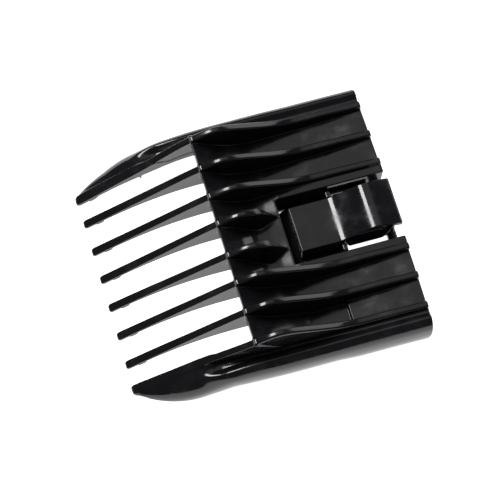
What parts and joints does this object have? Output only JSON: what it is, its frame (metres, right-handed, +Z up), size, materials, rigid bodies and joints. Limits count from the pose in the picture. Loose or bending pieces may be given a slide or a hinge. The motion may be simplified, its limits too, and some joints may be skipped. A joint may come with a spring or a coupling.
{
  "type": "hair clipper attachment comb",
  "caption": "Variable-length guide comb for a hair clipper: curved teeth and ribs on one black moulding, with a sprung length slide in its heel window.",
  "frame": {"origin": "centre of the bounding box on the surface that the comb lies on", "axes": "+Z up out of the scalp side, +Y from the tooth tips towards the heel that the clipper enters, +X across the teeth"},
  "size_m": [0.052, 0.0572, 0.0128],
  "materials": {
    "comb_plastic": "black moulded plastic, smooth and glossy on the ribs, faint satin on the deck",
    "slide_plastic": "black moulded plastic with a fine satin thumb pad"
  },
  "bodies": {
    "comb": {"comb_body": "comb_plastic"},
    "slide": {"length_slide": "slide_plastic"},
    "tongue": {"release_tongue": "slide_plastic"}
  },
  "joints": [
    {"name": "length_travel", "type": "slide", "parent": "comb", "child": "slide", "axis": [0, 1, 0], "range_m": [0, 0.01]},
    {"name": "tongue_lift", "type": "hinge", "parent": "slide", "child": "tongue", "pos_m": [0, 0.0173, 0.0064], "axis": [1, 0, 0], "range_deg": [0, 8], "stiffness_Nm_per_rad": 0.2}
  ]
}
